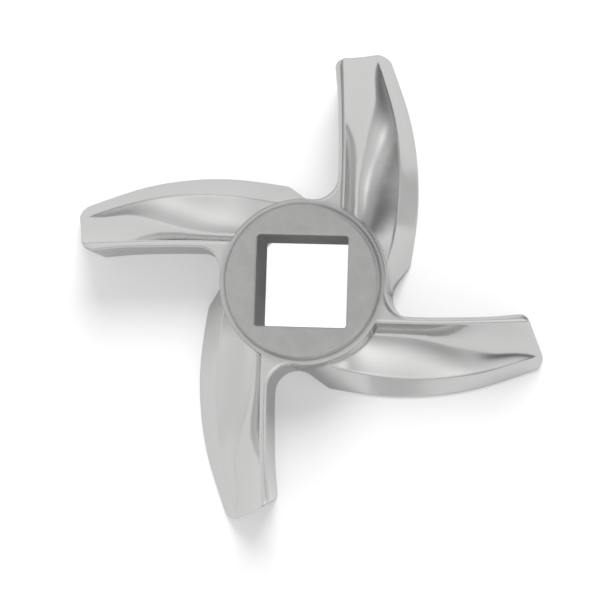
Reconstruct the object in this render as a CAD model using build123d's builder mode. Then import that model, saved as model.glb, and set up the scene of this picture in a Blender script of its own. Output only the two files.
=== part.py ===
from build123d import *

from math import radians, tan
import os

# Four-armed meat grinder knife, cast in one piece with a square drive bore.
#
# The knife lies on its flat cutting face.  +Z runs up through the hub ring, the
# X and Y axes are square to the flats of the drive bore, and the origin is on
# the bore axis in the plane of the cutting face.  All sizes are in millimetres.

# ---- driving dimensions ------------------------------------------------------
arms = 4                    # blades round the hub

# hub
bore_side = 9.7             # square drive bore, across the flats
bore_corner = 0.3           # corner radius of the bore
ring_diameter = 16.2        # ground ring face
ring_spread = 0.3           # how far the ring's wall spreads at its foot
ring_edge = 0.1             # broken edge round the ring face
ring_height = 1.15          # ring above the ledge
body_height = 8.75          # cutting face to the ledge and the blade lips
ledge_width = 0.48          # flat ledge round the foot of the ring
hub_draft = 2.4             # draft of the hub wall, degrees
hub_inset = 0.5             # how far the hub flanks draw in from foot to ledge

# blade, drawn for the arm that points along +Y
lip_x = 3.43                # straight wall of the blade, from the hub axis
lip_tip_x = 2.76            # the same wall at the tip
lip_width = 0.75            # top of the blade's high lip, roundings included
lip_round = 0.3             # rounding of the lip and ledge over the walls
crest_round = 0.28          # rounding of the lip over the scoop
edge_thickness = 0.3        # thickness of the long thin edge
crease_height = 2.3         # height of the crease between scoop and bevel
bevel_root = 2.4            # width of the bevel at the root of the blade
bevel_tip = 1.4             # width of the bevel at the tip
belly_x = 11.89             # widest reach of the thin edge
belly_y = 9.5
tip_x = 8.06                # outer tip corner, before rounding
tip_y = 26.4
tip_slant = 27.8            # slope of the end face, degrees
shoulder_x = 11.2           # corner where the thin edge leaves the hub flank
shoulder_y = 2.56
flank_angle = 55.5          # slope of the hub flank, degrees
notch_radius = 2.53         # round bottom between two blades
shoulder_radius = 1.2
tip_outer_radius = 1.3
tip_inner_radius = 0.95

# ---- derived sizes -----------------------------------------------------------
ring_radius = ring_diameter / 2
ledge_inner = ring_radius + ring_spread
ledge_outer = ledge_inner + ledge_width
total_height = body_height + ring_height
end_inner_y = tip_y - (tip_x - lip_tip_x) * tan(radians(tip_slant))
flank_run = 1 / tan(radians(flank_angle))
root_x = lip_x - notch_radius
wall_y = tip_y / 2          # where the straight wall starts to swing to the tip
under = 0.8 * body_height   # how far the blade form runs below the cutting face


def lip_wall(y):
    """Distance of the blade's straight wall from the Y axis at y along the arm."""
    swing = max(0.0, (y - wall_y) / (tip_y - wall_y))
    return lip_x - (lip_x - lip_tip_x) * swing ** 1.35


def thin_edge(start_x):
    """Curve of the thin edge from the hub flank, past the belly, to the tip."""
    run_x = belly_x - tip_x
    run_y = tip_y - belly_y
    return Spline(
        (start_x, shoulder_y),
        (belly_x, belly_y),
        (belly_x - 0.086 * run_x, belly_y + 0.314 * run_y),
        (belly_x - 0.308 * run_x, belly_y + 0.562 * run_y),
        (belly_x - 0.663 * run_x, belly_y + 0.799 * run_y),
        (tip_x, tip_y),
        tangents=((0.14, 1), (-0.378, 1)),
    )


def blade_section(edge_point, rise, across, up, grip):
    """One cross-section of a blade: high lip, scoop, crease and outer bevel.

    edge_point is where the section meets the thin edge.  rise lifts the crease towards the
    lip, across and up place the corner of the scoop between lip and crease, and grip says
    how closely the scoop follows that corner.
    """
    edge_x, y = edge_point.X, edge_point.Y
    along = (y - shoulder_y) / (tip_y - shoulder_y)
    bevel = bevel_root + (bevel_tip - bevel_root) * along
    depth = body_height - crease_height
    crease = Vector(edge_x - bevel, crease_height + rise * depth)
    middle = Vector(lip_wall(y) + lip_width - crest_round, body_height - crest_round)
    corner = Vector(
        lip_wall(y) + lip_width + across * (crease.X - lip_wall(y) - lip_width),
        crease.Y + up * (body_height - crease.Y),
    )
    dive = (corner - middle - Vector(crest_round, 0)).normalized()
    brow = middle + Vector(-dive.Y, dive.X) * crest_round
    fall = (crease.Y - edge_thickness) / bevel
    outer = Vector(edge_x + bevel / 4, edge_thickness - fall * bevel / 4)
    with BuildSketch(Plane.XZ.offset(-y)) as section:
        with BuildLine():
            Line((root_x, body_height), middle + Vector(0, crest_round))
            TangentArc(middle + Vector(0, crest_round), brow, tangent=(1, 0))
            Bezier(brow, brow + (corner - brow) * grip, crease + (corner - crease) * grip, crease)
            Polyline(crease, outer, (outer.X, -under), (root_x, -under), (root_x, body_height))
        make_face()
    return section.sketch


def from_axis(vertex):
    """Distance of a corner of the plan from the knife's axis."""
    return Vector(vertex.X, vertex.Y).length


def knife_plan(level, flank_inset):
    """Outline of the whole knife at a level, its hub flanks set in toward the axis."""
    start_x = shoulder_x - flank_inset
    with BuildSketch(Plane.XY.offset(level)) as plan:
        with BuildSketch(mode=Mode.PRIVATE) as blade_plan:
            with BuildLine():
                wall = Spline(
                    (lip_tip_x, end_inner_y),
                    (lip_wall(0.76 * tip_y), 0.76 * tip_y),
                    (lip_wall(0.625 * tip_y), 0.625 * tip_y),
                    (lip_x, wall_y),
                    tangents=((0.08, -1), (0, -1)),
                )
                Polyline(
                    wall @ 1,
                    (lip_x, -lip_x),
                    (start_x - (shoulder_y + lip_x) * flank_run, -lip_x),
                    (start_x, shoulder_y),
                )
                edge = thin_edge(start_x)
                Line(edge @ 1, (lip_tip_x, end_inner_y))
            make_face()
        with PolarLocations(0, arms):
            add(blade_plan.sketch)
        Circle(1.5 * lip_x)
        for corner, radius in (
            (Vector(start_x, shoulder_y), shoulder_radius),
            (Vector(tip_x, tip_y), tip_outer_radius),
            (Vector(lip_tip_x, end_inner_y), tip_inner_radius),
        ):
            alike = plan.vertices().filter_by(lambda v: abs(from_axis(v) - corner.length) < 0.01)
            fillet(alike, radius)
        inner = plan.vertices().group_by(lambda v: round(from_axis(v), 2))[0]
        fillet(inner, notch_radius)
    return plan.sketch


# ---- walls of the whole knife, its hub drawn in toward the ledge ---------------------
with BuildPart() as body:
    add(knife_plan(0, 0))
    add(knife_plan(body_height, hub_inset))
    loft(ruled=True)
    fillet(body.edges().group_by(Axis.Z)[-1], lip_round)

# ---- one blade: high lip, scoop, crease and bevel, cut to the plan outline -------
with BuildLine() as edge_line:
    edge_curve = thin_edge(shoulder_x)
with BuildPart() as blade:
    flank = (edge_curve @ 0) - Vector(flank_run, 1) * (shoulder_y * 1.4)
    add(blade_section(flank, 0.73, 0.07, 0.11, 0.7))
    add(blade_section(edge_curve @ 0, 0.36, 0.06, 0.07, 0.8))
    add(blade_section(edge_curve @ 0.13, 0.09, 0.05, 0.035, 0.88))
    add(blade_section(edge_curve @ 0.29, 0, 0.04, 0.05, 0.86))
    add(blade_section(edge_curve @ 0.42, 0, 0.05, 0.035, 0.76))
    add(blade_section(edge_curve @ 0.57, 0, 0.25, 0.11, 0.67))
    add(blade_section(edge_curve @ 0.7, 0, 0.45, 0.145, 0.67))
    add(blade_section(edge_curve @ 0.86, 0, 0.56, 0.09, 0.67))
    add(blade_section(edge_curve @ 1 + (edge_curve % 1) * bevel_tip / 2, 0, 0.56, 0.07, 0.67))
    loft()
    add(body.part, mode=Mode.INTERSECT)

# ---- the knife -----------------------------------------------------------------
with BuildPart() as knife:
    with BuildSketch(Plane.XZ):
        with BuildLine():
            foot = ledge_outer + body_height * tan(radians(hub_draft))
            Polyline((0, 0), (foot, 0), (ledge_outer, body_height), (0, body_height), close=True)
        make_face()
    revolve(axis=Axis.Z)
    add(body.part, mode=Mode.INTERSECT)
    for n in range(arms):
        add(blade.part, rotation=(0, 0, 360 / arms * n))
    with BuildSketch(Plane.XZ):
        with BuildLine():
            Polyline(
                (0, body_height - ring_height),
                (ledge_inner, body_height - ring_height),
                (ledge_inner, body_height),
                (ring_radius, total_height),
                (0, total_height),
                close=True,
            )
        make_face()
        chamfer(vertices().group_by(Axis.Y)[-1].sort_by(Axis.X)[-1], ring_edge)
    revolve(axis=Axis.Z)
    with BuildSketch():
        RectangleRounded(bore_side, bore_side, bore_corner)
    extrude(amount=total_height, mode=Mode.SUBTRACT)

knife.part.label = "knife"
os.makedirs("parts", exist_ok=True)
export_step(knife.part, "parts/knife.step")
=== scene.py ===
"""Looks of a four-armed meat grinder knife of cast and polished steel, on a white table."""

from __future__ import annotations

import logging
import math
from dataclasses import dataclass, field
from enum import Enum

import bmesh
import bpy
from mathutils import Matrix, Vector


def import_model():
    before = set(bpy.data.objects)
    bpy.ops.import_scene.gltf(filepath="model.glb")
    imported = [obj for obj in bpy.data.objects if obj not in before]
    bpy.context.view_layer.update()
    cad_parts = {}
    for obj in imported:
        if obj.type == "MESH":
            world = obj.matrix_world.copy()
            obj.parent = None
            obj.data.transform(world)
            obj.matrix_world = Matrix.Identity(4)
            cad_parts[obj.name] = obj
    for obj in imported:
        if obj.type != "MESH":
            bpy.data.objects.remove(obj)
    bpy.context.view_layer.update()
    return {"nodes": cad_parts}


log = logging.getLogger("knife")
MM = 0.001
WHITE = (1.0, 1.0, 1.0, 1.0)


def link(tree: bpy.types.NodeTree, source: bpy.types.NodeSocket, target: bpy.types.NodeSocket) -> None:
    """Joins an output socket to an input socket."""
    tree.links.new(source, target)


# ---- shader groups ---------------------------------------------------------------


def new_group(name: str, inputs: dict[str, float], outputs: dict[str, str]) -> bpy.types.NodeTree:
    """Makes an empty shader node group with named sockets.

    Args:
        name: name of the group.
        inputs: name and default of each number that goes in.
        outputs: name and socket type of each value that comes out.

    Returns:
        The node group, with its input and output nodes in place.
    """
    group = bpy.data.node_groups.new(name, "ShaderNodeTree")
    for label, default in inputs.items():
        socket = group.interface.new_socket(label, in_out="INPUT", socket_type="NodeSocketFloat")
        socket.default_value = default
    for label, kind in outputs.items():
        group.interface.new_socket(label, in_out="OUTPUT", socket_type=kind)
    group.nodes.new("NodeGroupInput").name = "in"
    group.nodes.new("NodeGroupOutput").name = "out"
    return group


def math_node(
    tree: bpy.types.NodeTree, operation: str, first: object, second: object = None, third: object = None
) -> bpy.types.NodeSocket:
    """Adds a Math node.

    Args:
        tree: the node tree.
        operation: Blender's name of the operation.
        first: a socket or a number.
        second: a socket or a number, where the operation takes one.
        third: a socket or a number, where the operation takes one.

    Returns:
        The node's output socket.
    """
    node = tree.nodes.new("ShaderNodeMath")
    node.operation = operation
    for slot, value in enumerate((first, second, third)):
        if value is None:
            continue
        if isinstance(value, bpy.types.NodeSocket):
            link(tree, value, node.inputs[slot])
        else:
            node.inputs[slot].default_value = value
    return node.outputs[0]


# ---- light, table and camera --------------------------------------------------------


@dataclass
class Camera:
    """The camera above the knife, tilted a little.  Its pose and lens were fitted by a solver."""

    lens: float = 97.446
    tilt_x: float = -0.06051
    tilt_y: float = 0.08932
    roll: float = -0.0314
    aim: tuple[float, float, float] = (0.0, 0.0, 9.9)
    offset: tuple[float, float, float] = (1.4, -19.1, 1624.1)
    scale: float = 0.1055
    sensor: float = 36.0
    near: float = 0.01
    far: float = 20.0

    def build(self) -> bpy.types.Object:
        """Makes the camera and gives it to the scene.

        Returns:
            The camera object.
        """
        about_x = Matrix.Rotation(self.tilt_x, 3, "X")
        about_y = Matrix.Rotation(self.tilt_y, 3, "Y")
        look = about_x @ about_y @ Matrix.Diagonal((1, -1, -1)) @ Matrix.Rotation(self.roll, 3, "Z")
        place = Vector(self.aim) - look.transposed() @ (Vector(self.offset) * self.scale)
        right, down, ahead = (Vector(row) for row in look)
        data = bpy.data.cameras.new("camera")
        data.lens = self.lens
        data.sensor_width = self.sensor
        data.clip_start = self.near
        data.clip_end = self.far
        camera = bpy.data.objects.new("camera", data)
        turn = Matrix((right, -down, -ahead)).transposed()
        camera.matrix_world = Matrix.Translation(place * MM) @ turn.to_4x4()
        bpy.context.scene.collection.objects.link(camera)
        bpy.context.scene.camera = camera
        return camera


@dataclass(frozen=True)
class Patch:
    """A soft bright or dim patch of the room round the table.

    turn is its direction round the knife, from +X towards +Y, and lean is how far it lies
    from straight overhead, both in degrees.  A larger tightness makes a smaller patch.
    """

    turn: float
    lean: float
    tightness: float
    level: float

    def towards(self) -> Vector:
        """Gives the unit vector from the knife to the middle of the patch."""
        turn, lean = math.radians(self.turn), math.radians(self.lean)
        return Vector((math.sin(lean) * math.cos(turn), math.sin(lean) * math.sin(turn), math.cos(lean)))


@dataclass
class Room:
    """What the polished steel mirrors: pale walls with soft bright and dim patches.

    The patches and the level of the walls were fitted by a solver outside this script, and
    only partly set one by one.  They are not real panels, and suit the one camera below.
    """

    walls: float = 0.78
    patches: tuple[Patch, ...] = (
        Patch(43, 16, 27, -0.66),
        Patch(65, 35, 30, -0.62),
        Patch(20, 60, 6, -0.42),
        Patch(3, 68, 25, 0.35),
        Patch(2, 52, 85, 0.60),
        Patch(36, 78, 13, -0.32),
        Patch(85, 30, 15, 0.55),
        Patch(127, 85, 12, -0.45),
        Patch(200, 70, 8, 0.15),
        Patch(240, 75, 9, -0.35),
        Patch(288, 85, 40, -0.60),
        Patch(306, 24, 13, 0.50),
    )

    def build(self) -> bpy.types.World:
        """Makes the world.

        Returns:
            The world.
        """
        world = bpy.data.worlds.new("room")
        bpy.context.scene.world = world
        world.use_nodes = True
        tree = world.node_tree
        background = tree.nodes["Background"]
        where = tree.nodes.new("ShaderNodeTexCoord").outputs["Generated"]
        level = self.walls
        for patch in self.patches:
            facing = tree.nodes.new("ShaderNodeVectorMath")
            facing.operation = "DOT_PRODUCT"
            facing.inputs[1].default_value = patch.towards()
            link(tree, where, facing.inputs[0])
            away = math_node(tree, "SUBTRACT", facing.outputs["Value"], 1.0)
            fade = math_node(tree, "EXPONENT", math_node(tree, "MULTIPLY", away, patch.tightness))
            level = math_node(tree, "MULTIPLY_ADD", fade, patch.level, level)
        seen = tree.nodes.new("ShaderNodeLightPath").outputs["Is Camera Ray"]
        link(tree, math_node(tree, "MAXIMUM", level, seen), background.inputs["Strength"])
        background.inputs["Color"].default_value = WHITE
        return world


@dataclass
class SoftBox:
    """A large soft lamp above the table."""

    name: str
    place: tuple[float, float, float]
    size: float
    power: float
    mirrored: bool = False

    def build(self) -> bpy.types.Object:
        """Makes the lamp and turns it to the knife.

        Returns:
            The lamp object.
        """
        data = bpy.data.lights.new(self.name, "AREA")
        data.shape = "DISK"
        data.size = self.size
        data.energy = self.power
        lamp = bpy.data.objects.new(self.name, data)
        lamp.location = self.place
        lamp.visible_glossy = self.mirrored
        lamp.rotation_euler = (-Vector(self.place)).to_track_quat("-Z", "Y").to_euler()
        bpy.context.scene.collection.objects.link(lamp)
        return lamp


@dataclass
class Table:
    """The white table top that the knife lies on, with a painted pool of light under the bore."""

    half: float = 1.5
    paint: float = 0.62
    rough: float = 0.9
    glow: float = 0.25
    mirrored_glow: float = 0.05
    # painted light: extra glow for the camera on the table under the bore, out to the reach below
    bore_painted_light: float = 0.6
    painted_light_reach: float = 6.5 * MM

    def build(self) -> bpy.types.Object:
        """Makes the table top.

        Returns:
            The table object.
        """
        mesh = bpy.data.meshes.new("table")
        shape = bmesh.new()
        bmesh.ops.create_grid(shape, x_segments=1, y_segments=1, size=self.half)
        shape.to_mesh(mesh)
        shape.free()
        mesh.materials.append(self.dress())
        table = bpy.data.objects.new("table", mesh)
        bpy.context.scene.collection.objects.link(table)
        return table

    def dress(self) -> bpy.types.Material:
        """Makes the white finish, which keeps the soft shadow and looks paper white, with a painted pool
        of light where the table glows brighter for the camera under the bore.

        Returns:
            The material.
        """
        material = bpy.data.materials.new("white_table")
        material.use_nodes = True
        tree = material.node_tree
        surface = tree.nodes["Principled BSDF"]
        surface.inputs["Base Color"].default_value = (self.paint, self.paint, self.paint, 1.0)
        surface.inputs["Roughness"].default_value = self.rough
        surface.inputs["Specular IOR Level"].default_value = 0.0
        path = tree.nodes.new("ShaderNodeLightPath")
        where = tree.nodes.new("ShaderNodeTexCoord").outputs["Object"]
        reach = tree.nodes.new("ShaderNodeVectorMath")
        reach.operation = "LENGTH"
        link(tree, where, reach.inputs[0])
        # painted pool of light: the table glows brighter for the camera within this reach of the knife's
        # axis, under the bore
        inside = math_node(tree, "LESS_THAN", reach.outputs["Value"], self.painted_light_reach)
        lift = math_node(tree, "MULTIPLY_ADD", inside, self.bore_painted_light, self.glow)
        glow = math_node(tree, "MULTIPLY", path.outputs["Is Camera Ray"], lift)
        glossy, through = path.outputs["Is Glossy Ray"], path.outputs["Is Transmission Ray"]
        mirror = math_node(tree, "MAXIMUM", glossy, through)
        glow = math_node(tree, "MULTIPLY_ADD", mirror, self.mirrored_glow, glow)
        surface.inputs["Emission Color"].default_value = WHITE
        link(tree, glow, surface.inputs["Emission Strength"])
        return material


# ---- steel ---------------------------------------------------------------------------


def zone_group() -> bpy.types.NodeTree:
    """Makes the group that tells the hub and the rough bore from the polished blades.

    Returns:
        The node group, with a mask for the ring with its ledge and one for the bore.
    """
    group = new_group(
        "knife_zones",
        {"Ring Radius": 8.2 * MM, "Polish Radius": 9.5 * MM, "Top": 9.83 * MM, "Bore Half": 4.9 * MM},
        {"Hub": "NodeSocketFloat", "Bore": "NodeSocketFloat"},
    )
    given, out = group.nodes["in"], group.nodes["out"]
    split = group.nodes.new("ShaderNodeSeparateXYZ")
    where = group.nodes.new("ShaderNodeTexCoord").outputs["Object"]
    link(group, where, split.inputs[0])
    x, y, z = split.outputs
    square = math_node(group, "MULTIPLY_ADD", x, x, math_node(group, "MULTIPLY", y, y))
    reach = math_node(group, "SQRT", square)
    fade = group.nodes.new("ShaderNodeMapRange")
    fade.interpolation_type = "SMOOTHSTEP"
    link(group, reach, fade.inputs["Value"])
    link(group, given.outputs["Ring Radius"], fade.inputs["From Min"])
    link(group, given.outputs["Polish Radius"], fade.inputs["From Max"])
    fade.inputs["To Min"].default_value = 1.0
    fade.inputs["To Max"].default_value = 0.0
    link(group, fade.outputs["Result"], out.inputs["Hub"])
    wide = math_node(group, "MAXIMUM", math_node(group, "ABSOLUTE", x), math_node(group, "ABSOLUTE", y))
    inside = math_node(group, "LESS_THAN", wide, given.outputs["Bore Half"])
    below = math_node(group, "LESS_THAN", z, given.outputs["Top"])
    link(group, math_node(group, "MULTIPLY", inside, below), out.inputs["Bore"])
    return group


def grain_group() -> bpy.types.NodeTree:
    """Makes the group for a casting's skin: mottled tone, fine grain and soft waves.

    Returns:
        The node group, with a tone round 1, and grain and waves from -1 to 1.
    """
    group = new_group(
        "casting_grain",
        {"Mottle": 0.12, "Mottle Size": 1.3 * MM, "Grain Size": 0.16 * MM, "Wave Size": 3.5 * MM},
        {"Tone": "NodeSocketFloat", "Grain": "NodeSocketFloat", "Waves": "NodeSocketFloat"},
    )
    mottle_detail = 3.0
    grain_detail = 2.0
    wave_detail = 0.0
    given, out = group.nodes["in"], group.nodes["out"]
    where = group.nodes.new("ShaderNodeTexCoord").outputs["Object"]

    def noise(size: bpy.types.NodeSocket, detail: float) -> bpy.types.NodeSocket:
        """Adds a noise texture of one size, from -1 to 1."""
        node = group.nodes.new("ShaderNodeTexNoise")
        link(group, where, node.inputs["Vector"])
        link(group, math_node(group, "DIVIDE", 1.0, size), node.inputs["Scale"])
        node.inputs["Detail"].default_value = detail
        return math_node(group, "MULTIPLY_ADD", node.outputs["Fac"], 2.0, -1.0)

    mottle = noise(given.outputs["Mottle Size"], mottle_detail)
    link(group, math_node(group, "MULTIPLY_ADD", mottle, given.outputs["Mottle"], 1.0), out.inputs["Tone"])
    link(group, noise(given.outputs["Grain Size"], grain_detail), out.inputs["Grain"])
    link(group, noise(given.outputs["Wave Size"], wave_detail), out.inputs["Waves"])
    return group


class MixKind(Enum):
    """What a Mix node mixes, by Blender's name for it."""

    COLOUR = "RGBA"
    NUMBER = "FLOAT"


@dataclass(frozen=True)
class KnifeSteel:
    """Cast stainless steel: polished blades, blasted hub, bore as cast."""

    blade: tuple[float, float, float] = (0.66, 0.66, 0.655)
    hub: tuple[float, float, float] = (0.5, 0.5, 0.495)
    bore: tuple[float, float, float] = (0.52, 0.515, 0.51)
    blade_rough: float = 0.13
    hub_rough: float = 0.42
    bore_rough: float = 0.55
    edge_round: float = 0.4 * MM
    wave_height: float = 0.004 * MM
    grain_height: float = 0.012 * MM
    bevel_samples: int = 8

    def build(self) -> bpy.types.Material:
        """Makes the material.

        Returns:
            The material.
        """
        material = bpy.data.materials.new("knife_steel")
        material.use_nodes = True
        tree = material.node_tree
        surface = tree.nodes["Principled BSDF"]
        surface.inputs["Metallic"].default_value = 1.0
        zones = tree.nodes.new("ShaderNodeGroup")
        zones.node_tree = zone_group()
        hub, bore = zones.outputs["Hub"], zones.outputs["Bore"]
        grain = tree.nodes.new("ShaderNodeGroup")
        grain.node_tree = grain_group()
        rough_skin = math_node(tree, "MAXIMUM", hub, bore)
        tone = self.mix(tree, MixKind.NUMBER, rough_skin, 1.0, grain.outputs["Tone"])
        tint = self.mix(tree, MixKind.COLOUR, hub, self.blade, self.hub)
        tint = self.mix(tree, MixKind.COLOUR, bore, tint, self.bore)
        shade = tree.nodes.new("ShaderNodeVectorMath")
        shade.operation = "SCALE"
        link(tree, tint, shade.inputs[0])
        link(tree, tone, shade.inputs["Scale"])
        link(tree, shade.outputs[0], surface.inputs["Base Color"])
        rough = self.mix(tree, MixKind.NUMBER, hub, self.blade_rough, self.hub_rough)
        rough = self.mix(tree, MixKind.NUMBER, bore, rough, self.bore_rough)
        link(tree, rough, surface.inputs["Roughness"])
        bevel = tree.nodes.new("ShaderNodeBevel")
        bevel.samples = self.bevel_samples
        bevel.inputs["Radius"].default_value = self.edge_round
        bump = tree.nodes.new("ShaderNodeBump")
        bump.inputs["Distance"].default_value = 1.0
        waves = math_node(tree, "MULTIPLY", grain.outputs["Waves"], self.wave_height)
        speckle = math_node(tree, "MULTIPLY", grain.outputs["Grain"], self.grain_height)
        speckle = math_node(tree, "MULTIPLY", speckle, rough_skin)
        link(tree, math_node(tree, "ADD", waves, speckle), bump.inputs["Height"])
        link(tree, bevel.outputs[0], bump.inputs["Normal"])
        link(tree, bump.outputs[0], surface.inputs["Normal"])
        return material

    @staticmethod
    def mix(
        tree: bpy.types.NodeTree, kind: MixKind, mask: bpy.types.NodeSocket, low: object, high: object
    ) -> bpy.types.NodeSocket:
        """Mixes two colours or numbers by a mask.

        Args:
            tree: the node tree.
            kind: whether colours or numbers are mixed.
            mask: the mask, 0 for low and 1 for high.
            low: a socket, a colour or a number.
            high: a socket, a colour or a number.

        Returns:
            The output socket.
        """
        node = tree.nodes.new("ShaderNodeMix")
        node.data_type = kind.value
        link(tree, mask, node.inputs[0])
        first, second = [s for s in node.inputs if s.enabled and s.name in ("A", "B")]
        for socket, value in ((first, low), (second, high)):
            if isinstance(value, bpy.types.NodeSocket):
                link(tree, value, socket)
            else:
                socket.default_value = (*value, 1.0) if kind is MixKind.COLOUR else value
        return next(s for s in node.outputs if s.enabled)


@dataclass
class Knife:
    """The knife, one casting."""

    steel: KnifeSteel = field(default_factory=KnifeSteel)

    def dress(self, casting: bpy.types.Object) -> None:
        """Gives the casting its steel.

        Args:
            casting: the knife's solid.
        """
        casting.data.materials.clear()
        casting.data.materials.append(self.steel.build())
        log.info("knife dressed: %d faces", len(casting.data.polygons))


def main() -> None:
    """Builds the scene piece by piece."""
    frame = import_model()
    bpy.context.scene.view_settings.view_transform = "Standard"
    camera = Camera().build()
    log.info("camera placed: lens %.1f mm", camera.data.lens)
    room = Room()
    room.build()
    log.info("room lit: %d patches", len(room.patches))
    lamp = SoftBox(name="key", place=(0.12, 0.62, 0.66), size=0.5, power=7.5).build()
    log.info("lamp hung: %s", lamp.name)
    table = Table().build()
    log.info("table laid: %s", table.name)
    Knife().dress(frame["nodes"]["knife"])


if __name__ == "__main__":
    logging.basicConfig(level=logging.INFO, format="%(name)s: %(message)s")
    main()
